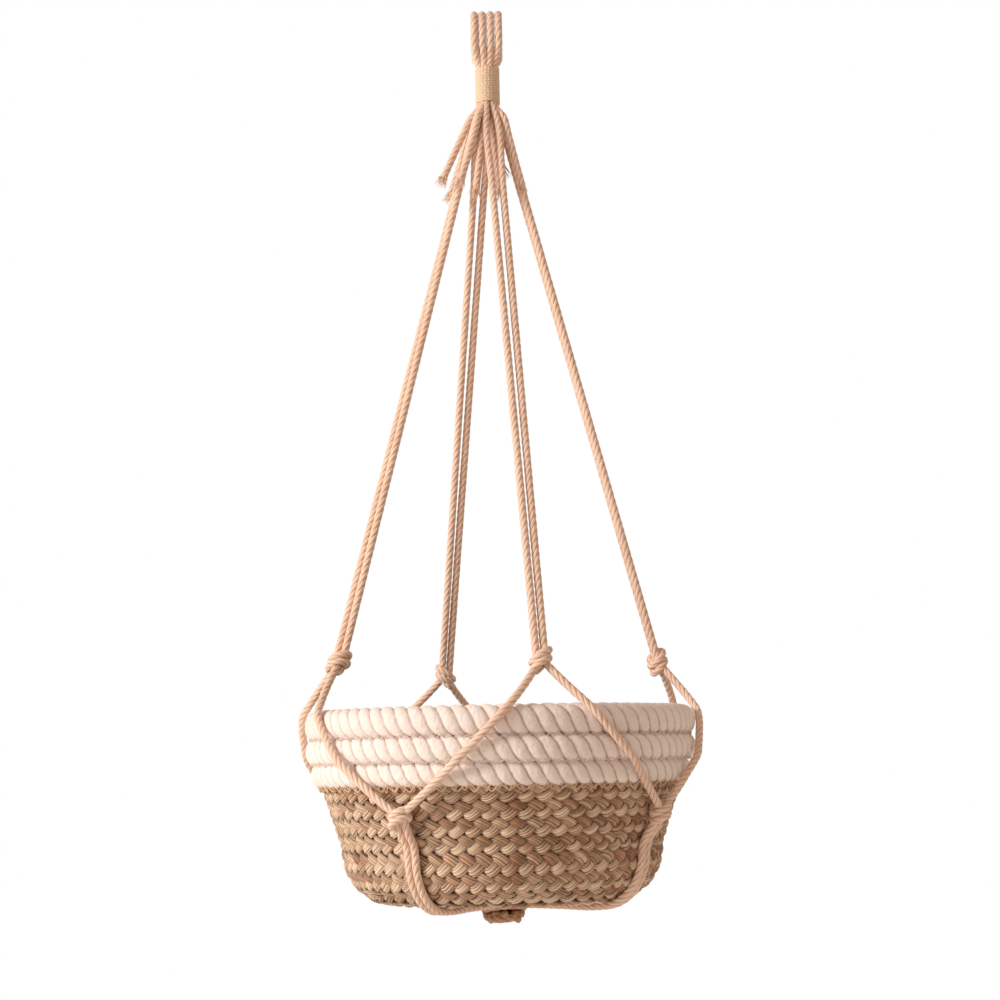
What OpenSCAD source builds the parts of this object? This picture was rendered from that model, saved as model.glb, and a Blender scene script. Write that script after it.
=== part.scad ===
// Hanging planter: a knotted cord hanger that cradles a round woven basket.
// Millimetres, +Z up. The origin is the top of the loop's eye, where the hook bears.

/* [Basket] */
// Outside diameter of the white rope rim
rim_d = 280; // [220:1:360]
// Height of the basket from its rim to its underside
basket_h = 134; // [120:1:180]
// How far the plait's top edge stands in from the rim
border_in = 11; // [8:0.5:20]
// How far the plaited side leans in from its top edge to its foot
side_in = 15; // [0:0.5:30]
// Height of the rounded corner at the foot
corner_h = 36; // [20:1:44]
// Width of the rounded corner, from the side's foot to the flat underside
corner_in = 32; // [14:1:40]
// Thickness of the plaited wall and base
plait_t = 8; // [5:0.5:10]

/* [White rope band] */
// Height of the top turn of white rope
rope_top_h = 20; // [16:0.5:24]
// Height of the middle turn of white rope
rope_mid_h = 16.5; // [12:0.5:20]
// Height of the lowest turn of white rope
rope_low_h = 15.5; // [12:0.5:20]
// Thickness of the white rope wall
rope_t = 18; // [14:0.5:22]

/* [Liner] */
// Height of the liner cup
liner_h = 88; // [60:1:100]
// Free space between the liner's top and the plaited wall's top
liner_clear = 20; // [8:1:24]
// Free space between the liner's foot and the rim of the basket's floor
liner_foot_clear = 6; // [4:1:16]
// Thickness of the liner's wall and floor
liner_t = 1.6; // [1:0.1:3]

/* [Cord hanger] */
// Diameter of the cotton cord
cord_d = 5.5; // [4:0.1:7]
// Height from the basket's rim to the foot of the whipping
hang_h = 450; // [300:1:700]
// Height of the whipping that binds the cords
wrap_h = 29; // [18:1:50]
// Outside diameter of the whipping
wrap_d = 18.5; // [16:0.5:30]
// Diameter of the whipping's twine
twine_d = 2; // [1:0.1:3]
// Width of the loop's eye
eye_w = 20; // [14:1:40]
// Height of the straight neck between the loop's round and the whipping
eye_neck = 1; // [0:1:30]
// How far the upper knots stand in from the rim's outside
knot_in = 23; // [14:1:40]
// Height of the upper knots, along the cords
upper_knot_h = 17; // [12:0.5:24]
// Diameter of the upper knots
upper_knot_d = 15.5; // [14:0.5:24]
// Depth of the lower knots' middle below the rim
lower_knot_drop = 73; // [64:1:90]
// Height of the lower knots
lower_knot_h = 15; // [12:0.5:20]
// Diameter of the lower knots
lower_knot_d = 14.5; // [12:0.5:20]
// Diameter of the gathering knot under the basket
bottom_knot_d = 36; // [32:1:50]
// Height of the gathering knot under the basket
bottom_knot_h = 17; // [12:0.5:24]

/* [Hidden] */

// Directions of the four arms, front, right, back and left, in degrees from +X.
arm_az = [-76, 8, 111, 194];
// How far each arm's two cords are turned from lying side by side round the basket.
pair_turn = [0, 0, 0, 50];
// Height of each upper knot's middle above the rim: they are tied by hand.
knot_rise = [30, 33, 29, 35];
// Each tail that starts outside the arm cords: its direction, its tilt and its length.
outer_tails = [[194, 25, 52], [239, 22, 58], [152.5, 18, 56], [326, 14, 56]];
// Each tail that starts inside them, in the same way.
inner_tails = [[225, 12, 58], [315, 6, 56], [45, 14, 36], [135, 10, 50]];
// Plait turns on the straight side, and round the corner.
side_turns = 4;
corner_turns = 4;

// Free space between a cord and what it lies on.
cord_gap = 0.3;
// Free space under the liner.
liner_gap = 0.2;
// Depth of the flare where the gathered cords spread.
flare_h = 13;
// How far the liner's lip stands out.
lip_out = 2;
// Height of the liner's lip.
lip_h = 3;
// Radius of the liner's bottom corner.
liner_corner = 8;
// How much a sling cord bows: 0 is straight round the basket, 1 leaves the knot level.
sling_sag = 0.35;
// Sides of a swept cord, and rings along a sling cord.
cord_sides = 8;
sling_rings = 14;
// Steps on a rounded outline.
arc_steps = 8;
// Inset of the lowest rope turn's foot from its crest.
low_rope_in = 4;
// Height of the stitching that crosses the border.
stitch_h = 6;
// How far the stitching stands out.
stitch_t = 1.4;

cord_r = cord_d / 2;
// Half the distance between two cords that run side by side.
cord_step = cord_r + cord_gap / 2;
// Distance of a cord's middle from what it lies on.
off = cord_r + cord_gap;
// Distances from the axis at the flare's foot: arm cords, outer tails, inner tails, its edge.
spread_r = 2 * cord_d;
outer_tail_r = spread_r + 0.66 * cord_d;
inner_tail_r = 0.73 * cord_d;
flare_r = max(outer_tail_r + cord_r, wrap_d / 2) + cord_gap / 2;

wrap_top = -(eye_w + 2 * cord_d + eye_neck);
wrap_foot = wrap_top - wrap_h;
flare_z = wrap_foot - flare_h;
rim_z = wrap_foot - hang_h;
bundle_r = wrap_d / 2 - twine_d;

rim_r = rim_d / 2;
border_r = rim_r - border_in;
foot_r = border_r - side_in;
base_r = foot_r - corner_in;
band_h = rope_top_h + rope_mid_h + rope_low_h;
border_z = rim_z - band_h;
base_z = rim_z - basket_h;
corner_z = base_z + corner_h;

lower_knot_z = rim_z - lower_knot_drop;
lower_knot_r = side_r(lower_knot_z + lower_knot_h / 4) + lower_knot_d / 2 + cord_gap;

// Distance of the straight plaited side from the axis at height z.
function side_r(z) = border_r - side_in * (border_z - z) / (border_z - corner_z);

function polar(r, az, z) = [r * cos(az), r * sin(az), z];
function along(a, b, t) = a + (b - a) * t;
function unit(v) = v / norm(v);
function turn(a, b) = b - a - 360 * floor((b - a) / 360);

// Middle direction between arm i and the next one.
function lower_az(i) = arm_az[i] + turn(arm_az[i], arm_az[(i + 1) % 4]) / 2;

// Sideways unit vector at a direction, towards larger angles.
function side_of(az) = [-sin(az), cos(az), 0];

function knot_mid(i) = polar(rim_r - knot_in, arm_az[i], rim_z + knot_rise[i]);
function arm_foot(i, s) = knot_mid(i) + s * cord_step * side_of(arm_az[i] + pair_turn[i]);
function arm_head(i, s) = polar(spread_r, arm_az[i] + s * 22.5, flare_z - cord_r * 0.3);
function arm_dir(i) = unit(knot_mid(i) - polar(spread_r, arm_az[i], flare_z));

// ---- shapes that repeat ----

// A straight cord between two points.
module rod(a, b, r) {
    v = b - a;
    translate(a)
        rotate([0, acos(v[2] / norm(v)), atan2(v[1], v[0])])
            cylinder(h = norm(v), r = r, $fn = 32);
}

// A tube swept along points, each ring square to the route there.
module swept_cord(route, r) {
    n = len(route);
    rings = [
        for (i = [0 : n - 1])
            let (
                d = unit(route[min(i + 1, n - 1)] - route[max(i - 1, 0)]),
                u = unit(cross(abs(d[2]) > 0.95 ? [1, 0, 0] : [0, 0, 1], d)),
                w = cross(d, u)
            )
            for (k = [0 : cord_sides - 1])
                let (a = 360 * k / cord_sides)
                route[i] + r * (cos(a) * u + sin(a) * w)
    ];
    first = [for (k = [cord_sides - 1 : -1 : 0]) k];
    last = [for (k = [0 : cord_sides - 1]) (n - 1) * cord_sides + k];
    sides = [
        for (i = [0 : n - 2], k = [0 : cord_sides - 1])
            let (a = i * cord_sides + k, b = i * cord_sides + (k + 1) % cord_sides)
            [a, b, b + cord_sides, a + cord_sides]
    ];
    triangles = [for (q = sides) each [[q[0], q[1], q[2]], [q[0], q[2], q[3]]]];
    polyhedron(points = rings, faces = concat([first], triangles, [last]));
}

// A rounded knot: a barrel about the local Z axis.
module barrel(d, h) {
    flat_r = d * 0.34;
    rotate_extrude($fn = 64)
        polygon(concat(
            [[0, -h / 2]],
            [for (k = [0 : arc_steps])
                let (a = -90 + 180 * k / arc_steps)
                [flat_r + (d / 2 - flat_r) * cos(a), h / 2 * sin(a)]],
            [[0, h / 2]]
        ));
}

// A ring whose section is a list of points, each [distance from the axis, height].
module ring(section) {
    rotate_extrude($fn = 180) polygon(section);
}

// ---- hanger ----

// Outline of a drop with a round head, its tip or foot at half width b and height z.
function drop(r, mid_z, b, z) =
    let (
        reach = norm([b, z - mid_z]),
        lean = acos(r / reach),
        low = atan2(z - mid_z, b) + lean
    )
    concat(
        [for (k = [0 : 24]) let (a = low + (180 - 2 * low) * k / 24) [r * cos(a), mid_z + r * sin(a)]],
        b > 0 ? [[-b, z], [b, z]] : [[0, z]]
    );

module hanging_loop() {
    thick = 2 * cord_d;
    color("burlywood")
        rotate([90, 0, 90])
            linear_extrude(height = 4 * cord_d, center = true)
                difference() {
                    polygon(drop(eye_w / 2 + thick, -eye_w / 2, bundle_r, wrap_top));
                    polygon(drop(eye_w / 2, -eye_w / 2, 0, wrap_top + 1));
                }
}

module whipping_wrap() {
    color("navajowhite")
        translate([0, 0, wrap_foot])
            difference() {
                cylinder(h = wrap_h, d = wrap_d, $fn = 96);
                translate([0, 0, -1]) cylinder(h = wrap_h + 2, r = bundle_r, $fn = 96);
            }
}

module gathered_cords() {
    color("burlywood")
        rotate_extrude($fn = 96)
            polygon([
                [0, wrap_top], [bundle_r, wrap_top], [bundle_r, wrap_foot], [wrap_d / 2, wrap_foot],
                [flare_r, flare_z], [0, flare_z]
            ]);
}

// One tail that leaves the flare's foot at distance r: t is its direction, tilt and length.
module tail(t, r) {
    start = polar(r, t[0], flare_z - cord_r * sin(t[1]));
    rod(start, start + t[2] * polar(sin(t[1]), t[0], -cos(t[1])), cord_r);
}

module tail_ends() {
    color("burlywood") {
        for (t = outer_tails) tail(t, outer_tail_r);
        for (t = inner_tails) tail(t, inner_tail_r);
    }
}

// One of the two cords of arm i: s is -1 or 1, the side it lies on.
module arm_cord(i, s) {
    color("burlywood") rod(arm_head(i, s), arm_foot(i, s), cord_r);
}

module upper_knot(i) {
    d = arm_dir(i);
    color("tan")
        translate(knot_mid(i))
            rotate([0, acos(d[2]), arm_az[i]])
                barrel(upper_knot_d, upper_knot_h);
}

// Distance of a sling cord from the axis at height z: over the rim, then taut to the lower knot.
function sling_r(i, z) = lookup(z, [
    [lower_knot_z, lower_knot_r],
    [border_z + rope_low_h / 2, rim_r - low_rope_in + off + 2 * cord_gap],
    [border_z + rope_low_h, rim_r + off + 2 * cord_gap],
    [rim_z - rope_top_h / 2, rim_r + off],
    [rim_z - 2, rim_r + off - 1.5],
    [knot_mid(i)[2], rim_r - knot_in]
]);

// Route of the cord that leaves upper knot i on side s, to the lower knot on that side.
function sling_route(i, s) =
    let (
        end_az = s > 0 ? turn(arm_az[i], lower_az(i)) : -turn(lower_az((i + 3) % 4), arm_az[i]),
        start_z = knot_mid(i)[2] - cord_r,
        start_az = s * cord_step / (rim_r - knot_in) * 180 / PI,
        stop_az = end_az - s * cord_step / lower_knot_r * 180 / PI,
        drop_h = start_z - lower_knot_z - cord_r - cord_gap
    )
    [for (k = [0 : sling_rings])
        let (
            t = k / sling_rings,
            z = start_z - drop_h * (sling_sag * sin(90 * t) + (1 - sling_sag) * t),
            az = arm_az[i] + along(start_az, stop_az, t)
        )
        polar(sling_r(i, z), az, z)];

module sling_cord(i, s) {
    color("burlywood") swept_cord(sling_route(i, s), cord_r);
}

module lower_knot(i) {
    color("tan")
        translate(polar(lower_knot_r, lower_az(i), lower_knot_z))
            barrel(lower_knot_d, lower_knot_h);
}

// Down the side, round the corner and in under the base, as [distance from the axis, height].
function cradle_line() =
    let (low_z = lower_knot_z - lower_knot_h * 0.7, mid_z = along(low_z, corner_z, 0.5))
    concat(
        [[lower_knot_r, lower_knot_z - cord_gap]],
        [[along(lower_knot_r, side_r(low_z) + off, 0.6), low_z]],
        [[side_r(mid_z) + off + cord_gap, mid_z]],
        [for (k = [0 : arc_steps])
            let (a = 90 * k / arc_steps)
            [base_r + (corner_in + off + cord_gap) * cos(a), corner_z - (corner_h + off + cord_gap) * sin(a)]],
        [[along(base_r, bottom_knot_d / 3, 0.5), base_z - off - cord_gap]],
        [[bottom_knot_d / 3, base_z - off - cord_gap]]
    );

module cradle_cord(i, s) {
    az = lower_az(i);
    color("burlywood")
        swept_cord([for (p = cradle_line()) polar(p[0], az, p[1]) + s * cord_step * side_of(az)], cord_r);
}

module bottom_knot() {
    color("tan")
        translate([0, 0, base_z - cord_gap - bottom_knot_h / 2])
            barrel(bottom_knot_d, bottom_knot_h);
}

// ---- basket ----

module rim_rope_top() {
    mid_r = rim_r - rope_t / 2;
    half_h = rope_top_h / 2;
    color("linen")
        ring(concat(
            [[mid_r - rope_t / 2, rim_z - rope_top_h], [rim_r, rim_z - rope_top_h]],
            [for (k = [0 : 2 * arc_steps])
                let (a = 180 * k / (2 * arc_steps))
                [mid_r + rope_t / 2 * cos(a), rim_z - half_h + half_h * sin(a)]]
        ));
}

module rim_rope_middle() {
    top_z = rim_z - rope_top_h;
    low_z = top_z - rope_mid_h;
    color("linen")
        ring([[rim_r - rope_t, low_z], [rim_r, low_z], [rim_r, top_z], [rim_r - rope_t, top_z]]);
}

module rim_rope_lower() {
    top_z = border_z + rope_low_h;
    color("linen")
        ring([
            [border_r - plait_t, border_z], [border_r, border_z],
            [along(border_r, rim_r, 0.6), border_z + rope_low_h * 0.2],
            [rim_r - low_rope_in, border_z + rope_low_h / 2], [rim_r, top_z],
            [rim_r - rope_t, top_z], [rim_r - rope_t, border_z + rope_low_h / 2]
        ]);
}

module border_stitching() {
    low_z = border_z - stitch_h;
    color("wheat")
        ring([
            [border_r, border_z], [side_r(low_z), low_z], [side_r(low_z) + stitch_t, low_z],
            [border_r + 2 * stitch_t, border_z],
            [along(border_r, rim_r, 0.6), border_z + rope_low_h * 0.2]
        ]);
}

// Outer and inner edge between plait turns n and n + 1, counted down from the border.
function plait_edge(n, inset) =
    n <= side_turns
    ? let (z = along(border_z, corner_z, n / side_turns)) [side_r(z) - inset, z]
    : let (a = 90 * (n - side_turns) / corner_turns)
      [base_r + (corner_in - inset) * cos(a), corner_z - (corner_h - inset) * sin(a)];

module plait_turn(n) {
    color("rosybrown")
        ring([
            plait_edge(n, plait_t), plait_edge(n, 0), plait_edge(n - 1, 0), plait_edge(n - 1, plait_t)
        ]);
}

module base_plait() {
    color("rosybrown")
        translate([0, 0, base_z]) cylinder(h = plait_t, r = base_r, $fn = 180);
}

// ---- liner ----

liner_z = base_z + plait_t + liner_gap;
liner_foot_r = base_r - liner_foot_clear;
// Flat middle of the liner, inside its rounded corner.
liner_flat_r = liner_foot_r - liner_corner;

// A point on the liner's rounded corner, step k of arc_steps, at distance r from its middle.
function liner_arc(k, r) =
    let (a = -90 + 80 * k / arc_steps)
    [liner_flat_r + r * cos(a), liner_z + liner_corner + r * sin(a)];

// The wall, lip and rounded corner.
module liner() {
    top_z = liner_z + liner_h;
    top_r = border_r - plait_t - liner_clear;
    color("dimgray")
        ring(concat(
            [for (k = [0 : arc_steps]) liner_arc(k, liner_corner)],
            [[top_r, top_z - lip_h], [top_r + lip_out, top_z - lip_h], [top_r + lip_out, top_z],
             [top_r - liner_t, top_z]],
            [for (k = [arc_steps : -1 : 0]) liner_arc(k, liner_corner - liner_t)]
        ));
}

// The flat floor, moulded in one with the wall.
module liner_base() {
    color("dimgray")
        translate([0, 0, liner_z]) cylinder(h = liner_t, r = liner_flat_r, $fn = 180);
}

// ---- nodes ----

hanging_loop();
whipping_wrap();
gathered_cords();
tail_ends();
arm_cord(0, -1);  // arm_cord_front_left
arm_cord(0, 1);  // arm_cord_front_right
arm_cord(1, -1);  // arm_cord_right_front
arm_cord(1, 1);  // arm_cord_right_back
arm_cord(2, -1);  // arm_cord_back_right
arm_cord(2, 1);  // arm_cord_back_left
arm_cord(3, -1);  // arm_cord_left_back
arm_cord(3, 1);  // arm_cord_left_front
upper_knot(0);  // upper_knot_front
upper_knot(1);  // upper_knot_right
upper_knot(2);  // upper_knot_back
upper_knot(3);  // upper_knot_left
sling_cord(0, -1);  // sling_cord_front_left
sling_cord(0, 1);  // sling_cord_front_right
sling_cord(1, -1);  // sling_cord_right_front
sling_cord(1, 1);  // sling_cord_right_back
sling_cord(2, -1);  // sling_cord_back_right
sling_cord(2, 1);  // sling_cord_back_left
sling_cord(3, -1);  // sling_cord_left_back
sling_cord(3, 1);  // sling_cord_left_front
lower_knot(0);  // lower_knot_front_right
lower_knot(1);  // lower_knot_back_right
lower_knot(2);  // lower_knot_back_left
lower_knot(3);  // lower_knot_front_left
cradle_cord(0, -1);  // cradle_cord_front_right_1
cradle_cord(0, 1);  // cradle_cord_front_right_2
cradle_cord(1, -1);  // cradle_cord_back_right_1
cradle_cord(1, 1);  // cradle_cord_back_right_2
cradle_cord(2, -1);  // cradle_cord_back_left_1
cradle_cord(2, 1);  // cradle_cord_back_left_2
cradle_cord(3, -1);  // cradle_cord_front_left_1
cradle_cord(3, 1);  // cradle_cord_front_left_2
bottom_knot();
rim_rope_top();
rim_rope_middle();
rim_rope_lower();
border_stitching();
plait_turn(1);  // plait_turn_1
plait_turn(2);  // plait_turn_2
plait_turn(3);  // plait_turn_3
plait_turn(4);  // plait_turn_4
plait_turn(5);  // plait_turn_5
plait_turn(6);  // plait_turn_6
plait_turn(7);  // plait_turn_7
plait_turn(8);  // plait_turn_8
base_plait();
liner();
liner_base();
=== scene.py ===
import math

import bpy
import numpy as np
from mathutils import Matrix, Vector


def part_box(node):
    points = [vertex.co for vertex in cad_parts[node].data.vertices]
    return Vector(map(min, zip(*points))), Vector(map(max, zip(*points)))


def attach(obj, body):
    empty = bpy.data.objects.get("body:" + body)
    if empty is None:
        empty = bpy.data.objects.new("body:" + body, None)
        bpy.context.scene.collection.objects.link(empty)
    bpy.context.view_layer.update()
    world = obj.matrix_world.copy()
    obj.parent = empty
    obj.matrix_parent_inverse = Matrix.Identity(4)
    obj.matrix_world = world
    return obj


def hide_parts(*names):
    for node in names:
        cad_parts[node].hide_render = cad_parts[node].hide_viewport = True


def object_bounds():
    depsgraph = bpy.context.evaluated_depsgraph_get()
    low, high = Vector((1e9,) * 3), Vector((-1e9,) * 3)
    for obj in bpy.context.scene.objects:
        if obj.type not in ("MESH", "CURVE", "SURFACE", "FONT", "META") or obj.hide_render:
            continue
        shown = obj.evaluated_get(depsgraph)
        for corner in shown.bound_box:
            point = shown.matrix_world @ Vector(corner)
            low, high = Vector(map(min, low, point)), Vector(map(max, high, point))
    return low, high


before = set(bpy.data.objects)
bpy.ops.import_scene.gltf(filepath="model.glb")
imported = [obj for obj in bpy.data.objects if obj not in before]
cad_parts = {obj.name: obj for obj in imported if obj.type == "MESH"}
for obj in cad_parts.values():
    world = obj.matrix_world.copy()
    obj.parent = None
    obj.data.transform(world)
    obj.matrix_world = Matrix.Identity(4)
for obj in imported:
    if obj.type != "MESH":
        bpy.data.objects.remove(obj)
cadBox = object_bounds()
print("planter: frame loaded")

tau = 2 * math.pi


def lowHigh(node):
    # lowest and highest corner of a CAD piece, as arrays
    low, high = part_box(node)
    return np.array(low), np.array(high)


def middle(node):
    low, high = lowHigh(node)
    return (low + high) / 2


# sizes read off the CAD pieces, in metres
rimZ = lowHigh("rim_rope_top")[1][2]
rimR = lowHigh("rim_rope_top")[1][0]
borderZ = lowHigh("rim_rope_lower")[0][2]
borderR = lowHigh("plait_turn_1")[1][0]
cornerZ = lowHigh("plait_turn_4")[0][2]
footR = lowHigh("plait_turn_5")[1][0]
baseZ = lowHigh("base_plait")[0][2]
baseR = lowHigh("base_plait")[1][0]
wallT = lowHigh("base_plait")[1][2] - baseZ
wrapLow, wrapHigh = lowHigh("whipping_wrap")
bundleR = wrapHigh[0]
flareZ = lowHigh("gathered_cords")[0][2]

# the hanger as a user would change it
hanger = {
    "cord": 0.0055,  # cord diameter
    "gap": 0.0003,  # free space under a cord
    "strands": 4,
    "lay": 0.0225,  # length of one full turn of the strands
    "groove": 0.14,  # how deep the creases between strands are
    "step": 0.0009,  # distance between rings along a cord
    "sag": 0.35,  # how much a sling cord bows
    "pairTurn": (0, 0, 0, 50),  # how far each arm's two cords are turned from lying round the basket
}
armNames = ["front", "right", "back", "left"]
lowerNames = ["front_right", "back_right", "back_left", "front_left"]
cordR = hanger["cord"] / 2
cordStep = cordR + hanger["gap"] / 2
offR = cordR + hanger["gap"]


def polar(r, angle, z):
    # a point from its distance to the axis, its direction in degrees and its height
    a = np.radians(angle)
    return np.stack(np.broadcast_arrays(r * np.cos(a), r * np.sin(a), z), -1)


def direction(node):
    p = middle(node)
    return math.degrees(math.atan2(p[1], p[0]))


def sideOf(angle):
    a = math.radians(angle)
    return np.array([-math.sin(a), math.cos(a), 0.0])


def turnFrom(a, b):
    return (b - a) % 360


armAngle = [direction("upper_knot_" + n) for n in armNames]
lowerAngle = [direction("lower_knot_" + n) for n in lowerNames]
knotMid = [middle("upper_knot_" + n) for n in armNames]
lowerMid = [middle("lower_knot_" + n) for n in lowerNames]
lowerR = float(np.hypot(*lowerMid[0][:2]))


# the camera is made first
view = {
    "distance": 1.5,
    "belowRim": 0.036,  # the camera is level with a line this far under the rim
    "pitch": 7.16,  # degrees up
    "roll": -1.15,  # degrees
    "lens": 74.5,  # millimetres
    "sensor": 36,
    "nearest": 0.02,  # nothing closer is drawn
    "aside": 0.0032,
}


def makeCamera():
    camera = bpy.data.objects.new("camera", bpy.data.cameras.new("camera"))
    bpy.context.scene.collection.objects.link(camera)
    camera.data.lens = view["lens"]
    camera.data.sensor_width = view["sensor"]
    camera.data.clip_start = view["nearest"]
    tilt = Matrix.Rotation(math.radians(90 + view["pitch"]), 4, "X")
    roll = Matrix.Rotation(math.radians(view["roll"]), 4, "Z")
    place = Matrix.Translation((view["aside"], -view["distance"], rimZ - view["belowRim"]))
    camera.matrix_world = place @ tilt @ roll
    bpy.context.scene.camera = camera


makeCamera()
print("planter: camera placed")


def unit(v):
    return v / np.maximum(np.linalg.norm(v, axis=-1, keepdims=True), 1e-12)


def lengthAlong(path):
    # distance along a path at each of its points
    return np.concatenate([[0.0], np.cumsum(np.linalg.norm(np.diff(path, axis=0), axis=1))])


def smoothRoute(points, step):
    # a cubic through the points, its slope at each the mean slope of its neighbours, cut at even steps
    points = np.asarray(points, float)
    s = lengthAlong(points)
    slope = np.gradient(points, s, axis=0)
    q = np.linspace(0, s[-1], max(int(s[-1] / step), 8) + 1)
    i = np.clip(np.searchsorted(s, q, "right") - 1, 0, len(s) - 2)
    h = (s[i + 1] - s[i])[:, None]
    x = (q - s[i])[:, None] / h
    return (
        (2 * x**3 - 3 * x**2 + 1) * points[i]
        + (x**3 - 2 * x**2 + x) * h * slope[i]
        + (3 * x**2 - 2 * x**3) * points[i + 1]
        + (x**3 - x**2) * h * slope[i + 1]
    )


def heading(path, loop=False):
    # the direction along a path at each of its points, from its two neighbours
    return unit(np.roll(path, -1, 0) - np.roll(path, 1, 0) if loop else np.gradient(path, axis=0))


def steadyFrame(path):
    # two directions square to a path that don't spin about it: a first pair is made from a fixed
    # direction, and its own spin is added up and taken off
    t = heading(path)
    anyWay = np.array([0.31, 0.22, 0.92])  # not along any of the paths
    u = unit(np.cross(anyWay, t))
    w = np.cross(t, u)
    spin = np.arcsin(np.clip(np.sum(np.diff(u, axis=0) * w[:-1], axis=1), -1, 1))
    back = -np.concatenate([[0.0], np.cumsum(spin)])[:, None]
    u = np.cos(back) * u + np.sin(back) * w
    return u, np.cross(t, u)


def ripple(x, y, seed):
    # smooth unevenness from -1 to 1: five waves of random pace and phase, added up
    rng = np.random.default_rng(seed)
    total = 0
    for _ in range(5):
        a, b = rng.uniform(-3, 3, 2)
        total = total + np.sin(a * x + b * y + rng.uniform(0, tau))
    return total / 5


class Pile:
    # grids of points gathered into one piece, with a UV in metres and a shade colour at each point

    def __init__(self):
        self.points = []
        self.faces = []
        self.tris = []
        self.uvs = []
        self.shades = []
        self.count = 0

    def add(self, grid, along, around, crown, tone, loop=False):
        # grid is rings by points round each ring; along and around are its UV lines; crown goes from
        # 0 in a crease to 1 on top, from which the finishes paint shade, and tone is a strand's own
        # brightness, with painted light and shade added on the plait
        n, m = grid.shape[:2]
        i, k = np.meshgrid(np.arange(n if loop else n - 1), np.arange(m), indexing="ij")
        nextI = (i + 1) % n
        nextK = (k + 1) % m
        quads = np.stack([i * m + k, i * m + nextK, nextI * m + nextK, nextI * m + k], -1).reshape(-1, 4)
        uv = np.stack([
            np.stack([along[i], around[k]], -1),
            np.stack([along[i], around[k + 1]], -1),
            np.stack([along[i + 1], around[k + 1]], -1),
            np.stack([along[i + 1], around[k]], -1),
        ], 2).reshape(-1, 2)
        shade = np.ones((n, m, 4))
        shade[..., 0] = crown
        shade[..., 1] = tone
        points = grid.reshape(-1, 3)
        colours = shade.reshape(-1, 4)
        if not loop:  # each end is closed by a fan round its own middle point
            ring = np.arange(m)
            after = (ring + 1) % m
            base = n * m
            first = np.stack([np.full(m, base), after, ring], -1)
            last = np.stack([np.full(m, base + 1), ring + (n - 1) * m, after + (n - 1) * m], -1)
            ends = np.stack([grid[0].mean(0), grid[-1].mean(0)])
            points = np.concatenate([points, ends])
            colours = np.concatenate([colours, shade[0, :1], shade[-1, :1]])
            self.tris.append(np.concatenate([first, last]) + self.count)
        self.points.append(points)
        self.shades.append(colours)
        self.faces.append(quads + self.count)
        self.uvs.append(uv)
        self.count += len(points)

    def piece(self, name, material, nodes=(), body="planter"):
        points = np.concatenate(self.points)
        quads = np.concatenate(self.faces)
        tris = np.concatenate(self.tris) if self.tris else np.zeros((0, 3), int)
        uv = np.concatenate(self.uvs + [np.zeros((len(tris) * 3, 2))])
        corners = np.concatenate([quads.ravel(), tris.ravel()]).astype(np.int32)
        sizes = np.concatenate([np.full(len(quads), 4), np.full(len(tris), 3)])
        starts = np.concatenate([[0], np.cumsum(sizes)[:-1]]).astype(np.int32)
        mesh = bpy.data.meshes.new(name)
        mesh.vertices.add(len(points))
        mesh.vertices.foreach_set("co", points.astype(np.float32).ravel())
        mesh.loops.add(len(corners))
        mesh.loops.foreach_set("vertex_index", corners)
        mesh.polygons.add(len(sizes))
        mesh.polygons.foreach_set("loop_start", starts)
        mesh.update(calc_edges=True)
        layer = mesh.uv_layers.new(name="lay")
        layer.data.foreach_set("uv", uv.astype(np.float32).ravel())
        colour = mesh.color_attributes.new(name="shade", type="FLOAT_COLOR", domain="POINT")
        colour.data.foreach_set("color", np.concatenate(self.shades).astype(np.float32).ravel())
        mesh.polygons.foreach_set("use_smooth", np.ones(len(sizes), bool))
        mesh.materials.append(material)
        mesh.validate()
        mesh.update()
        obj = bpy.data.objects.new(name, mesh)
        bpy.context.scene.collection.objects.link(obj)
        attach(obj, body)
        if nodes:
            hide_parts(*nodes)
        return obj


def twistedCord(pile, path, diameter, strands, lay, groove, seed):
    # strands laid round each other: the ring's radius dips at each crease between strands, and the
    # creases turn right-handed by one turn in each lay length
    u, w = steadyFrame(path)
    s = lengthAlong(path)
    sides = strands * 6  # six points round each strand
    phi = tau * np.arange(sides) / sides
    crown = np.abs(np.cos(phi * strands / 2)) ** 0.7
    diameter = np.broadcast_to(diameter, len(s))
    uneven = 1 + 0.03 * ripple(s[:, None] * 220, phi[None], seed)
    radius = diameter[:, None] / 2 * (1 - groove + groove * crown[None]) * uneven
    angle = phi[None] + tau * s[:, None] / lay
    grid = path[:, None] + radius[..., None] * (
        np.cos(angle)[..., None] * u[:, None] + np.sin(angle)[..., None] * w[:, None]
    )
    around = np.arange(sides + 1) * (math.pi * float(diameter.mean()) / sides)
    along = np.append(s, s[-1])
    patch = 0.5 + 0.5 * ripple(s[:, None] * 60, 0, seed + 7)
    pile.add(grid, along, around, crown[None], 0.3 + 0.4 * patch)


def hangerCord(pile, path, diameter, seed, layShare=1.0):
    # a stretch of the hanger's own cord
    twistedCord(pile, path, diameter, hanger["strands"], hanger["lay"] * layShare, hanger["groove"], seed)


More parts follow.
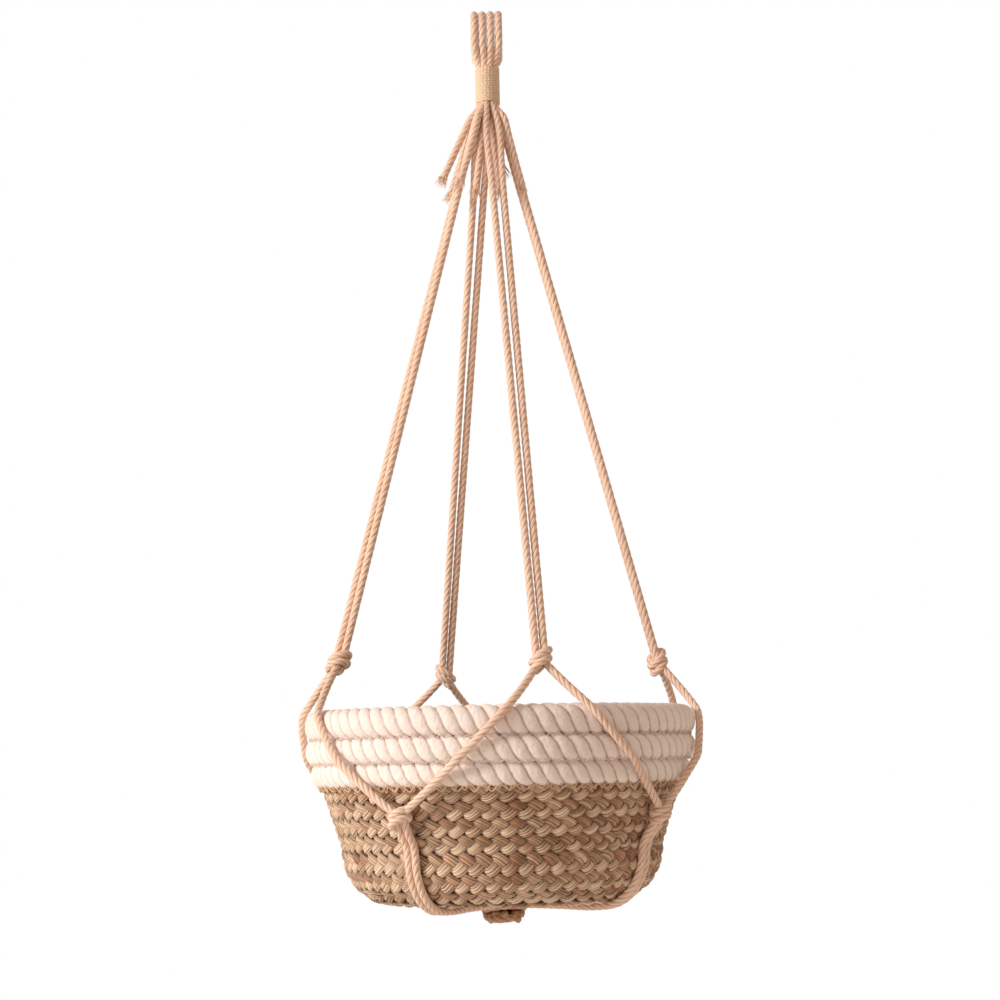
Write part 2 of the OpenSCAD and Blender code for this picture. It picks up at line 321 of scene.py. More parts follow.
def sectionTube(pile, path, across, width, thick, tone, crownLow=0.0, ridges=0.0, points=32, loop=False):
    # a flat strand: a pillow-shaped section of the given width and thickness, held square to the path
    # with its width along the across direction; its outer face is ribbed like a bundle of blades, with
    # round ribs, sharp grooves and a slow drift of both to the side
    out = np.cross(heading(path, loop), across)
    theta = tau * np.arange(points) / points
    x = np.cos(theta)
    y = np.sign(np.sin(theta)) * np.abs(np.sin(theta)) ** 0.75
    width = np.broadcast_to(width, len(path))[:, None]
    thick = np.broadcast_to(thick, len(path))[:, None]
    drift = 0.9 * ripple(lengthAlong(path) * 70, 0, 77)
    groove = (1 - np.abs(np.sin(x[None] * 1.8 * math.pi + drift[:, None])) ** 0.7) * (y > 0)[None]
    ridge = 1 - ridges * groove
    grid = (
        path[:, None]
        + (x[None] * width / 2)[..., None] * across[:, None]
        + (y[None] * thick / 2 * ridge)[..., None] * out[:, None]
    )
    s = lengthAlong(path)
    last = s[-1] + np.linalg.norm(path[-1] - path[0]) if loop else s[-1]
    around = np.arange(points + 1) * (float(width.mean()) * 2.2 / points)
    # crown is low at the edges and in the grooves, and the finishes paint shade there
    crown = np.clip(1 - np.abs(x) ** 4, crownLow, 1)[None] * (1 - 2.8 * ridges * groove)
    pile.add(grid, np.append(s, last), around, crown, tone, loop)


def linear(r, g, b):
    # a colour as a screen shows it, turned into the amounts of light that shaders use
    c = np.array([r, g, b]) / 255
    c = np.where(c <= 0.04045, c / 12.92, ((c + 0.055) / 1.055) ** 2.4)
    return (float(c[0]), float(c[1]), float(c[2]), 1.0)


class Amount:
    # wraps a socket, so that sums on it add Math nodes

    def __init__(self, finish, socket):
        self.finish, self.socket = finish, socket

    def _math(self, kind, a, b):
        return self.finish.math(kind, a, b)

    def __add__(self, other):
        return self._math("ADD", self, other)

    __radd__ = __add__

    def __sub__(self, other):
        return self._math("SUBTRACT", self, other)

    def __rsub__(self, other):
        return self._math("SUBTRACT", other, self)

    def __mul__(self, other):
        return self._math("MULTIPLY", self, other)

    __rmul__ = __mul__

    def __pow__(self, other):
        return self._math("POWER", self, other)


class Finish:
    # one material while it is being built

    def __init__(self, name, **fixed):
        self.material = bpy.data.materials.new(name)
        self.material.use_nodes = True
        self.tree = self.material.node_tree
        self.tree.nodes.clear()
        self.shader = self.node("ShaderNodeBsdfPrincipled")
        for key, value in fixed.items():
            self.shader.inputs[key.replace("_", " ")].default_value = value
        end = self.node("ShaderNodeOutputMaterial")
        self.tree.links.new(self.shader.outputs[0], end.inputs["Surface"])

    def node(self, kind, settings=None, sockets=None):
        made = self.tree.nodes.new(kind)
        for key, value in (settings or {}).items():
            setattr(made, key, value)
        for key, value in (sockets or {}).items():
            if isinstance(value, Amount):
                self.tree.links.new(value.socket, made.inputs[key])
            else:
                made.inputs[key].default_value = value
        return made

    def out(self, made, name=0):
        return Amount(self, made.outputs[name])

    def math(self, kind, a, b):
        return self.out(self.node("ShaderNodeMath", {"operation": kind}, {0: a, 1: b}))

    def mix(self, share, a, b):
        # the node's colour sockets are its inputs 6 and 7 and its output 2
        return self.out(self.node("ShaderNodeMix", {"data_type": "RGBA"}, {0: share, 6: a, 7: b}), 2)

    def shade(self):
        # crown (0 in a crease, 1 on top, from which painted shade is drawn) and tone (its own brightness,
        # on the plait with painted light and shade), stored on the mesh
        read = self.node("ShaderNodeAttribute", {"attribute_name": "shade"})
        parts = self.node("ShaderNodeSeparateColor", None, {0: self.out(read, "Color")})
        return self.out(parts, 0), self.out(parts, 1)

    def fibre(self, alongScale, acrossScale, detail=3.0):
        # noise drawn out along the piece's own direction
        uv = self.out(self.node("ShaderNodeUVMap", {"uv_map": "lay"}))
        fit = self.node("ShaderNodeMapping", None, {"Vector": uv, "Scale": (alongScale, acrossScale, 1)})
        return self.out(self.node("ShaderNodeTexNoise", None, {
            "Vector": self.out(fit), "Scale": 1.0, "Detail": detail, "Roughness": 0.6}))

    def speckle(self, scale, detail=2.0):
        place = self.node("ShaderNodeTexCoord")
        return self.out(self.node("ShaderNodeTexNoise", None, {
            "Vector": self.out(place, "Object"), "Scale": scale, "Detail": detail}))

    def range(self, value, low, high, outLow=0.0, outHigh=1.0):
        # low to high becomes outLow to outHigh, and what lies past them is held there
        made = self.node("ShaderNodeMapRange", {"clamp": True}, {
            "Value": value, "From Min": low, "From Max": high, "To Min": outLow, "To Max": outHigh})
        return self.out(made)

    def colour(self, value):
        self.tree.links.new(value.socket, self.shader.inputs["Base Color"])

    def rough(self, value):
        self.tree.links.new(value.socket, self.shader.inputs["Roughness"])

    def bump(self, height, distance, strength=1.0):
        made = self.node("ShaderNodeBump", None, {
            "Height": height, "Distance": distance, "Strength": strength})
        self.tree.links.new(made.outputs[0], self.shader.inputs["Normal"])


# colours as a screen shows them, the darkest of each being painted shade for the creases between strands
# and the colour of any specks; across is how many yarns a metre would hold side by side, and creaseTo how
# far up a strand's side that painted shade reaches
cordFinish = {
    "light": (250, 228, 210),
    "mid": (236, 200, 176),
    "shadeAndFleck": (164, 118, 90),
    "across": 2600.0,
    "creaseTo": 0.66,
}
twineFinish = {
    "light": (255, 234, 208),
    "mid": (255, 227, 197),
    "shadeAndFleck": (252, 202, 160),
    "across": 5200.0,
    "creaseTo": 0.75,
}
# a darker copy of the cord finish: painted shade for the bottom knot, which hangs in the basket's shadow
knotShadeFinish = {
    "light": (216, 180, 152),
    "mid": (190, 148, 118),
    "shadeAndFleck": (118, 78, 54),
    "across": 2600.0,
    "creaseTo": 0.75,
}
whiteFinish = {
    "light": (250, 243, 239),
    "mid": (240, 228, 222),
    "shadeAndFleck": (192, 158, 140),
    "across": 900.0,
    "creaseTo": 0.72,
    "fleck": 0.5,  # specks of straw and dust
    "lumps": 2.4,  # soft unevenness of the thick rope
}
threadFinish = {
    "light": (240, 226, 214),
    "mid": (220, 200, 186),
    "shadeAndFleck": (172, 144, 126),
    "across": 4000.0,
    "creaseTo": 0.75,
}
strawFinish = {
    "light": (222, 194, 158),
    "mid": (198, 162, 126),
    "shadeAndFleck": (112, 80, 54),
    "across": 3800.0,
    "creaseTo": 0.75,
}


def makeCordFinish(name, values):
    # twisted yarn: light and mid tones in slow clouds, with painted shade darkening it towards the creases
    # between strands
    f = Finish(name, Roughness=0.9, Sheen_Weight=0.25, Sheen_Roughness=0.5)
    light, mid, shadeAndFleck = (linear(*values[key]) for key in ("light", "mid", "shadeAndFleck"))
    crown, tone = f.shade()
    yarn = f.fibre(260.0, values["across"])
    cloud = f.speckle(38.0)
    body = f.mix(f.range(tone * 0.5 + cloud * 0.6, 0.3, 0.8), mid, light)
    body = f.mix(f.range(yarn, 0.3, 0.7, 0.0, 0.35), body, mid)
    patch = f.speckle(260.0, 3.0)
    # painted shade: towards the creases the darkest colour is mixed in, patchy in strength
    dark = (1 - f.range(crown, 0.0, values["creaseTo"])) ** 1.6 * f.range(patch, 0.35, 0.6, 0.45, 1.0)
    fleck = f.range(f.speckle(620.0), 0.66, 0.74, 0.0, values.get("fleck", 0.0))
    # the darkest colour takes both the painted crease shade and the specks of straw and dust
    f.colour(f.mix(f.math("MAXIMUM", dark, fleck), body, shadeAndFleck))
    f.rough(f.range(yarn, 0.3, 0.7, 0.96, 0.8))
    f.bump(yarn * 0.6 + crown * 0.4 + patch * values.get("lumps", 0.0), 0.0005)
    return f.material


# dark is both the colour of the fibres' own split lines and painted shade at the strands' edges and grooves
grassFinish = {
    "pale": (247, 220, 190),
    "straw": (210, 167, 132),
    "brown": (162, 115, 81),
    "dark": (38, 22, 12),
}


def makeGrassFinish():
    # dry grass: long fibres with pale and brown streaks, and painted shade darkening the strand's edges and
    # the grooves between its blades
    f = Finish("plaited_grass", Sheen_Weight=0.1)
    pale, straw, brown, dark = (linear(*grassFinish[key]) for key in ("pale", "straw", "brown", "dark"))
    crown, tone = f.shade()
    fine = f.fibre(34.0, 1500.0, 4.0)
    wide = f.fibre(22.0, 420.0, 2.0)
    cloud = f.speckle(22.0)
    body = f.mix(f.range(tone * 0.75 + wide * 0.5, 0.3, 0.85), brown, straw)
    body = f.mix(f.range(tone * 0.6 + fine * 0.8 + cloud * 0.2, 0.70, 0.98), body, pale)
    split = 1 - f.range(fine, 0.36, 0.49)
    # painted shade: where crown is low, at the strand's edges and in its grooves, the dark colour is mixed
    # in
    edge = 1 - f.range(crown, 0.0, 0.78)
    f.colour(f.mix(f.math("MAXIMUM", split * 0.8, edge * 0.97), body, dark))
    f.rough(f.range(fine, 0.3, 0.7, 0.75, 0.5))
    f.bump(fine * 0.8 + wide * 0.5, 0.0012)
    return f.material


linerFinish = {"dark": (44, 42, 40), "light": (60, 57, 54)}


def makeLinerFinish():
    # dull moulded plastic: a fine grain, and smears where it has been handled
    f = Finish("liner_plastic", Specular_IOR_Level=0.4)
    grain = f.speckle(900.0, 1.0)
    smear = f.speckle(14.0, 3.0)
    f.colour(f.mix(smear, linear(*linerFinish["dark"]), linear(*linerFinish["light"])))
    f.rough(f.range(smear, 0.3, 0.7, 0.42, 0.6))
    f.bump(grain, 0.0001, 0.6)
    return f.material


cottonCord = makeCordFinish("cotton_cord", cordFinish)
wrapTwine = makeCordFinish("wrap_twine", twineFinish)
knotShadeCord = makeCordFinish("knot_shade_cord", knotShadeFinish)
whiteRope = makeCordFinish("white_rope", whiteFinish)
whiteThread = makeCordFinish("white_thread", threadFinish)
strawThread = makeCordFinish("straw_thread", strawFinish)
plaitedGrass = makeGrassFinish()
linerPlastic = makeLinerFinish()
print("planter: materials made")


# the rim's rope, which the sling cords are laid over
rimRope = {
    "lay": 0.0300,  # length of one turn of the three strands
    "groove": 0.17,
    "lowIn": 0.004,  # how far the lowest turn stands in
    "samples": 900,
    "perStrand": 12,
}


def declareCord(path):
    path = [tuple(float(x) for x in p) for p in path]


def tautCord(name, points, seed, squeezed=False, alsoFor=()):
    # a length held by the object at both ends, which takes the place of the CAD cord of its name
    path = smoothRoute(points, hanger["step"])
    size = hanger["cord"] * (squeeze(path) if squeezed else np.ones(len(path)))
    pile = Pile()
    hangerCord(pile, path, size, seed)
    obj = pile.piece(name + "_rope", cottonCord, [name, *alsoFor])
    declareCord(path)


# how the sixteen lengths spread out of the whipping
flare = {
    "insideR": 0.0044,  # distance out of the arm cords inside the whipping
    "footR": 0.0058,  # the same at the whipping's foot
    "spreadR": 0.011,  # the same where they are free of each other
    "halfTurn": 22.5,  # each of a pair stands this many degrees to its side
    "above": 0.006,  # how far up inside the whipping they start
    "squeeze": 0.72,  # share of its thickness that a cord keeps inside the whipping
    "squeezeOver": 0.018,  # length in which it becomes full again
}


def squeeze(path):
    # share of the full thickness at each point of a cord that starts inside the whipping
    least = flare["squeeze"]
    return np.clip(least + (1 - least) * lengthAlong(path) / flare["squeezeOver"], least, 1)


# the side of its arm that each cord is on: before and after the arm, going round
armSides = [("left", "right"), ("front", "back"), ("right", "left"), ("back", "front")]


def armCord(i, s, name):
    a = armAngle[i] + s * flare["halfTurn"]
    end = knotMid[i] + s * cordStep * sideOf(armAngle[i] + hanger["pairTurn"][i])
    start = polar(flare["spreadR"], a, flareZ)
    points = [polar(flare["insideR"], a, wrapLow[2] + flare["above"]), polar(flare["footR"], a, wrapLow[2])]
    points += [start + (end - start) * t for t in np.linspace(0, 1, 9)]
    first = (i, s) == (0, -1)
    tautCord("arm_cord_" + name, points, 11 + 2 * i + s, True, ["gathered_cords"] if first else ())


def slingDistance(z, knotZ, ropeLow, ropeTop):
    # distance from the axis at height z: over the rim, down the rope band, then taut to the lower knot
    clear = offR + 2 * hanger["gap"]
    route = np.array([
        [lowerMid[0][2], lowerR],
        [borderZ + ropeLow / 2, rimR - rimRope["lowIn"] + clear],
        [borderZ + ropeLow, rimR + clear],
        [rimZ - ropeTop / 2, rimR + offR],
        [rimZ - 0.002, rimR + offR - 0.0015],
        [knotZ, np.hypot(*knotMid[0][:2])],
    ])
    return np.interp(z, route[:, 0], route[:, 1])


def slingCord(i, s, name):
    # from an upper knot round to the lower knot on its side, sagging between its two straight ends
    ropeLow = lowHigh("rim_rope_lower")[1][2] - borderZ
    ropeTop = rimZ - lowHigh("rim_rope_top")[0][2]
    knotR = float(np.hypot(*knotMid[i][:2]))
    if s > 0:
        endAngle = turnFrom(armAngle[i], lowerAngle[i])
    else:
        endAngle = -turnFrom(lowerAngle[i - 1], armAngle[i])
    startZ = knotMid[i][2] - cordR
    startAngle = math.degrees(s * cordStep / knotR)
    stopAngle = endAngle - math.degrees(s * cordStep / lowerR)
    drop = startZ - lowerMid[0][2] - cordR - hanger["gap"]
    t = np.linspace(0, 1, 15)
    z = startZ - drop * (hanger["sag"] * np.sin(t * math.pi / 2) + (1 - hanger["sag"]) * t)
    r = slingDistance(z, knotMid[i][2], ropeLow, ropeTop)
    points = polar(r, armAngle[i] + startAngle + (stopAngle - startAngle) * t, z)
    tautCord("sling_cord_" + name, points, 31 + 2 * i + s)


def sideDistance(z):
    return borderR - (borderR - footR) * (borderZ - z) / (borderZ - cornerZ)


def cradleLine(bottomR):
    # distance and height: down the side, round the corner and in under the base
    knotLow, knotHigh = lowHigh("lower_knot_front_left")
    knotZ = lowerMid[0][2]
    lowZ = knotZ - (knotHigh - knotLow)[2] * 0.7
    midZ = (lowZ + cornerZ) / 2
    reach = offR + hanger["gap"]
    a = np.radians(np.linspace(0, 90, 9))
    cornerR = baseR + (footR - baseR + reach) * np.cos(a)
    corner = np.stack([cornerR, cornerZ - (cornerZ - baseZ + reach) * np.sin(a)], -1)
    low = lowerR + (sideDistance(lowZ) + offR - lowerR) * 0.6
    first = [[lowerR, knotZ - hanger["gap"]], [low, lowZ], [sideDistance(midZ) + reach, midZ]]
    last = [[(baseR + bottomR) / 2, baseZ - reach], [bottomR, baseZ - reach]]
    return np.concatenate([first, corner, last])


def cradleCord(i, s):
    bottomR = lowHigh("bottom_knot")[1][0] * 2 / 3
    line = cradleLine(bottomR)
    points = polar(line[:, 0], lowerAngle[i], line[:, 1]) + s * cordStep * sideOf(lowerAngle[i])
    tautCord("cradle_cord_" + lowerNames[i] + ("_1" if s < 0 else "_2"), points, 51 + 2 * i + s)


for i in range(4):
    for s, side in zip((-1, 1), armSides[i]):
        armCord(i, s, armNames[i] + "_" + side)
        slingCord(i, s, armNames[i] + "_" + side)
        cradleCord(i, s)
print("planter: long cords laid")


# each tail: its direction, its distance out where the cords spread, its tilt, its length and its curl
tails = [
    (194, 0.0146, 25, 0.052, 0.004),
    (239, 0.0146, 22, 0.058, -0.003),
    (152.5, 0.0146, 18, 0.056, 0.003),
    (326, 0.0146, 14, 0.056, 0.002),
    (225, 0.004, 12, 0.058, 0.002),
    (315, 0.004, 6, 0.056, 0.0015),
    (45, 0.004, 14, 0.036, -0.002),
    (135, 0.004, 10, 0.050, 0.002),
]
fray = {
    "hairs": 46,
    "length": 0.011,
    "thick": 0.00042,
    "spread": 0.0028,  # how far the outermost hairs lean out
    "stray": 0.0009,  # how far any hair leans by chance
    "bend": 0.0022,
    "inside": 0.0025,  # how far up inside the cord they start
}


def frayedEnd(pile, tip, ahead, seed):
    # loose yarn at a cut end: thin tapering hairs that fan out from points spread over the cord's end
    rng = np.random.default_rng(seed)
    side = unit(np.cross(ahead, [0.3, 0.9, 0.2]))
    other = np.cross(ahead, side)
    t = np.linspace(0, 1, 6)[:, None]
    phi = tau * np.arange(5) / 5
    for _ in range(fray["hairs"]):
        a = rng.uniform(0, tau)
        r = math.sqrt(rng.uniform(0, 1)) * cordR * 0.86
        outward = math.cos(a) * side + math.sin(a) * other
        start = tip - ahead * fray["inside"] + r * outward
        lean = outward * r / cordR * fray["spread"]
        lean = lean + (side * rng.normal() + other * rng.normal()) * fray["stray"]
        bend = (side * rng.normal() + other * rng.normal()) * fray["bend"]
        reach = fray["length"] * rng.uniform(0.45, 1.0)
        path = start + t * ahead * reach + t**1.4 * lean + t * (1 - t) * bend
        u, w = steadyFrame(path)
        size = fray["thick"] * rng.uniform(0.6, 1.1) * (1 - 0.75 * t)
        ring = np.cos(phi)[None, :, None] * u[:, None] + np.sin(phi)[None, :, None] * w[:, None]
        grid = path[:, None] + size[..., None] * ring
        crown = 0.55 + 0.45 * rng.uniform()
        pile.add(grid, np.append(t, 1) * reach, np.arange(6) * 0.0004, crown, rng.uniform(0.4, 1))


def tailCord(number, angle, outR, tilt, length, curl):
    # a cut cord that leaves the whipping with the others and bends a little to its side
    a = math.radians(tilt)
    start = polar(outR, angle, flareZ)
    ahead = polar(math.sin(a), angle, -math.cos(a))
    side = sideOf(angle)
    inner = min(outR * 0.35, 0.0052)
    upper = polar(inner, angle, wrapLow[2] + flare["above"])
    lower = polar(inner * 1.25, angle, wrapLow[2] - 0.001)
    t = np.linspace(0, 1, 6)[:, None]
    free = start + t * length * ahead * 0.97 + curl * t**2 * side
    path = smoothRoute(np.concatenate([[upper, lower], free]), hanger["step"])
    pile = Pile()
    hangerCord(pile, path, hanger["cord"] * squeeze(path), 71 + number)
    nodes = ["tail_ends"] if number == 1 else []
    obj = pile.piece("tail_cord_%d" % number, cottonCord, nodes)
    loose = Pile()
    frayedEnd(loose, path[-1], unit(path[-1] - path[-4]), 171 + number)
    hair = loose.piece("tail_fray_%d" % number, cottonCord)
    declareCord(path)


for number, row in enumerate(tails, 1):
    tailCord(number, *row)
print("planter: tails cut")


upperKnot = {
    "outR": 0.0055,  # from the knot's axis to the middle of a wound cord
    "cord": 0.0055,
    "apart": 0.0027,  # half the distance between the two windings
    "tilt": 0.0034,
    "climb": 0.0016,
    "turn": 215,  # each winding goes this many degrees to both sides of its front
    "facing": (20, -30, 15, 60),  # how far each knot's front is turned from straight outwards
}
lowerKnot = {
    "outR": 0.0054,
    "cord": 0.0052,
    "apart": 0.0026,
    "tilt": 0.0026,
    "climb": 0.0016,
    "turn": 225,
    "facing": (10, 10, 10, 10),
}


def knotTurns(pile, values, centre, axis, out, seed):
    # the two cords of a knot, wound once round the knot's own core: each goes round on a tilted
    # ellipse that climbs, and tucks in under itself at both ends
    side = unit(np.cross(axis, out))
    out = np.cross(side, axis)
    for c in (-1, 1):
        theta = np.radians(np.linspace(-values["turn"], values["turn"], 120))
        ending = np.clip((np.abs(theta) / theta[-1] - 0.78) / 0.22, 0, 1)  # 0, then up to 1 at each end
        r = values["outR"] * (1 - 0.72 * ending**2) * (1.0 + 0.05 * c * np.sin(2 * theta))
        z = c * values["apart"] + values["tilt"] * np.sin(theta + 0.5) + values["climb"] * theta / math.pi
        z = z * (1 - 0.25 * ending)
        path = (
            centre
            + (r * 1.06 * np.sin(theta))[:, None] * side
            + (r * 0.96 * np.cos(theta))[:, None] * out
            + z[:, None] * axis
        )
        hangerCord(pile, path, values["cord"], seed + c, 0.9)


def tieUpperKnot(i):
    name = "upper_knot_" + armNames[i]
    upTheArm = unit(polar(flare["spreadR"], armAngle[i], flareZ) - knotMid[i])
    front = polar(1.0, armAngle[i] + upperKnot["facing"][i], 0.0)
    pile = Pile()
    knotTurns(pile, upperKnot, knotMid[i], upTheArm, front, 91 + 3 * i)
    pile.piece(name + "_tied", cottonCord, [name])


def tieLowerKnot(i):
    name = "lower_knot_" + lowerNames[i]
    front = polar(1.0, lowerAngle[i] + lowerKnot["facing"][i], 0.0)
    pile = Pile()
    knotTurns(pile, lowerKnot, lowerMid[i], np.array([0.0, 0.0, 1.0]), front, 111 + 3 * i)
    pile.piece(name + "_tied", cottonCord, [name])


bottomKnot = {
    # each turn round the middle: its height, how much it tilts, which way and its share of the radius
    "turns": [(-0.0026, 0.0022, 20, 0.80), (0.0022, 0.0026, 160, 0.92), (0.0045, 0.001, 250, 0.74)],
    "turnCord": 0.0056,
    # each cord drawn across underneath: its direction and how far it lies to the side
    "across": [(15, 0.0042), (22, -0.0035), (100, 0.003), (112, -0.0045), (60, 0.0)],
    "acrossCord": 0.0054,
    "ends": [8, 51, 97, 140, 186, 228, 275, 318],  # directions of the cut ends
    "endCord": 0.005,
}


def tieBottomKnot():
    # a flattish knot of all eight cords: tilted turns round the middle, cords drawn across underneath,
    # and short cut ends that stick out between them
    low, high = lowHigh("bottom_knot")
    centre = (low + high) / 2
    outR = high[0] - cordR * 1.15
    halfH = (high[2] - low[2]) / 2 - cordR
    pile = Pile()
    theta = np.radians(np.linspace(0, 380, 160))[:, None]
    for k, (z, tilt, lean, r) in enumerate(bottomKnot["turns"]):
        size = outR * r * (1 + 0.05 * np.sin(3 * theta + k))
        height = z + tilt * np.sin(theta + math.radians(lean))
        path = centre + np.concatenate([size * np.cos(theta), size * np.sin(theta), height], 1)
        hangerCord(pile, path, bottomKnot["turnCord"], 131 + k)
    t = np.linspace(-1, 1, 70)[:, None]
    for k, (angle, aside) in enumerate(bottomKnot["across"]):
        a = math.radians(angle)
        across = np.array([math.cos(a), math.sin(a), 0.0])
        path = centre + t * outR * 0.78 * across + aside * np.array([-across[1], across[0], 0.0])
        below = halfH * (0.25 + 0.75 * np.sqrt(1 - 0.96 * t**2)) - 0.0006 * k
        path = path - below * np.array([0, 0, 1.0])
        hangerCord(pile, path, bottomKnot["acrossCord"], 141 + k)
    for k, angle in enumerate(bottomKnot["ends"]):
        start = centre + polar(outR * 0.55, angle, -0.001 - 0.003 * (k % 2))
        path = start + np.linspace(0, 1, 12)[:, None] * unit(polar(1.0, angle, -0.25)) * outR * 0.45
        hangerCord(pile, path, bottomKnot["endCord"], 151 + k)
    # the bottom knot takes the darker copy of the cord finish, as painted shade
    pile.piece("bottom_knot_tied", knotShadeCord, ["bottom_knot"])


whipping = {"twine": 0.0027, "strands": 2, "turns": 14, "lay": 0.0045, "groove": 0.12}


def windWhipping():
    # twine wound in a close helix, a hair uneven
    r = bundleR - whipping["twine"] / 2
    rise = (wrapHigh[2] - wrapLow[2] - whipping["twine"]) / whipping["turns"]
    theta = np.linspace(0, tau * whipping["turns"], whipping["turns"] * 44)
    wobble = 0.00006 * ripple(theta, 0, 5)
    z = wrapLow[2] + whipping["twine"] / 2 + rise * theta / tau + wobble
    path = np.stack([(r + wobble) * np.cos(theta), (r + wobble) * np.sin(theta), z], -1)
    pile = Pile()
    twistedCord(pile, path, whipping["twine"], whipping["strands"], whipping["lay"], whipping["groove"], 3)
    pile.piece("whipping_twine", wrapTwine, ["whipping_wrap"])


loop = {
    "eyeR": 0.010,  # the free eye
    "rows": 4,  # cords side by side
    "layers": 2,  # cords one over the other
    "cord": 0.0058,
    "apart": 0.0060,
    "neckIn": 0.56,  # share of their distance from the middle that is left at the whipping
    "neckH": 0.012,  # height in which they close in
    "tucked": 0.004,  # how far they reach down inside the whipping
}


def formLoop():
    # eight cords over the hook, four side by side and two deep: each follows the eye's round head and
    # closes in to the whipping at both feet
    pile = Pile()
    top = wrapHigh[2]
    angle = np.radians(np.linspace(-28, 208, 15))
    for layer in range(loop["layers"]):
        r = loop["eyeR"] + cordR * (1 + 2 * layer)
        foot = bundleR * (0.22 + 0.36 * layer)
        head = np.stack([r * np.cos(angle), -loop["eyeR"] + r * np.sin(angle)], -1)
        for k in range(loop["rows"]):
            x = (k - (loop["rows"] - 1) / 2) * loop["apart"]
            # the feet stay inside the whipping's own circle
            inside = min(foot, np.sqrt((bundleR - loop["cord"] / 2) ** 2 - (x * loop["neckIn"]) ** 2))
            feet = np.array([[inside, top - loop["tucked"]], [inside * 1.05, top + 0.001]])
            line = np.concatenate([feet, head, feet[::-1] * [-1, 1]])
            near = np.clip((line[:, 1] - top) / loop["neckH"], 0, 1)
            width = loop["neckIn"] + (1 - loop["neckIn"]) * near**0.8
            points = np.stack([x * width, line[:, 0], line[:, 1]], -1)
            hangerCord(pile, smoothRoute(points, hanger["step"]), loop["cord"], 201 + 4 * layer + k)
    pile.piece("hanging_loop_cords", cottonCord, ["hanging_loop"])


for i in range(4):
    tieUpperKnot(i)
    tieLowerKnot(i)
tieBottomKnot()
windWhipping()
formLoop()
print("planter: knots tied, whipping wound")


def ropeRing(name, node, midR, midZ, halfOut, halfUp, seed):
    # a ring of rope: three strands turn about its middle line a whole number of times, and the ring's
    # section is an ellipse that dips at the creases
    turns = round(tau * midR / rimRope["lay"])
    az = tau * np.arange(rimRope["samples"]) / rimRope["samples"]
    m = 3 * rimRope["perStrand"]
    phi = tau * np.arange(m) / m
    crown = np.abs(np.cos(1.5 * phi)) ** 0.62
    x = np.cos(az)[:, None]
    y = np.sin(az)[:, None]
    start = np.random.default_rng(seed).uniform(0, tau)
    pace = 0.10 * ripple(x * 9, y * 9, seed)
    theta = phi[None] - (turns * az[:, None] + start + pace)
    puff = 1 + 0.022 * ripple(x * 14, y * 14 + np.sin(phi)[None] * 2, seed + 1)
    g = rimRope["groove"]
    size = (1 - g + g * crown[None]) * puff
    up = np.sign(np.sin(theta)) * np.abs(np.sin(theta)) ** 0.80
    r = midR + halfOut * size * np.cos(theta)
    grid = np.stack([r * x, r * y, midZ + halfUp * size * up], -1)
    along = tau * midR * np.arange(rimRope["samples"] + 1) / rimRope["samples"]
    around = np.arange(m + 1) * (tau * halfOut / m)
    tone = 0.5 + 0.5 * ripple(x * 6, y * 6, seed + 2)
    pile = Pile()
    pile.add(grid, along, around, crown[None], tone, loop=True)
    pile.piece(name, whiteRope, [node])


def ringThread(pile, r, z, values, seed):
    # one thread that zig-zags round the basket: its height and distance swing as rounded triangles
    laps = values["laps"]
    thick = values["thick"]
    az = np.linspace(0, tau, laps * 14 + 1)[:-1]
    wave = np.arcsin(np.sin(az * laps) * 0.97) / 1.33
    jitter = ripple(np.cos(az) * 40, np.sin(az) * 40, seed)
    uneven = 1 + 0.4 * ripple(np.cos(az) * 22, np.sin(az) * 22, seed + 1)
    rr = r + values["swingR"] * wave + 0.0004 * jitter
    zz = z + values["swingZ"] * wave * uneven + 0.0004 * jitter
    path = np.stack([rr * np.cos(az), rr * np.sin(az), zz], -1)
    across = unit(np.cross(polar(1.0, np.degrees(az), 0.0), heading(path, True)))
    tone = 0.5 + 0.5 * ripple(az[:, None] * 60, 0, seed + 4)
    sectionTube(pile, path, across, thick * 1.5, thick, tone, 0.3, points=8, loop=True)


# each turn of rope: how far its middle stands in from the rim, half its depth, what it is fuller by than
# its share of the height, and its seed
ropeTurns = {
    "top": (0.0093, 0.0094, 0.0009, 21),
    "middle": (0.0092, 0.0090, 0.0015, 22),
    "lower": (0.0128, 0.0086, 0.0014, 23),
}
# the threads in the two seams between the rope's turns, then the two over the border with the plait:
# off is how far each stands in from the rim, or out from the border and down from it
threads = {
    "top": {"off": 0.0030, "swingR": 0.0002, "swingZ": 0.0013, "laps": 141, "thick": 0.0005},
    "middle": {"off": 0.0036, "swingR": 0.0004, "swingZ": 0.0012, "laps": 137, "thick": 0.0005},
    "long": {"off": (0.0018, 0.0008), "swingR": 0.0016, "swingZ": 0.0028, "laps": 112, "thick": 0.0008},
    "short": {"off": (0.0014, 0.0016), "swingR": 0.0012, "swingZ": 0.0022, "laps": 71, "thick": 0.0009},
}


def buildRim():
    seam = {}
    for turn, (inward, halfOut, fuller, seed) in ropeTurns.items():
        node = "rim_rope_" + turn
        low, high = lowHigh(node)
        seam[turn] = low[2]
        halfUp = (high - low)[2] / 2
        ropeRing(node + "_turn", node, rimR - inward, low[2] + halfUp, halfOut, halfUp + fuller, seed)
    pile = Pile()
    for seed, turn in enumerate(("top", "middle"), 301):
        ringThread(pile, rimR - threads[turn]["off"], seam[turn], threads[turn], seed)
    pile.piece("rim_sewing_thread", whiteThread)
    pile = Pile()
    for seed, kind in enumerate(("long", "short"), 311):
        outward, down = threads[kind]["off"]
        ringThread(pile, borderR + outward, borderZ - down, threads[kind], seed)
    pile.piece("border_stitches", strawThread, ["border_stitching"])


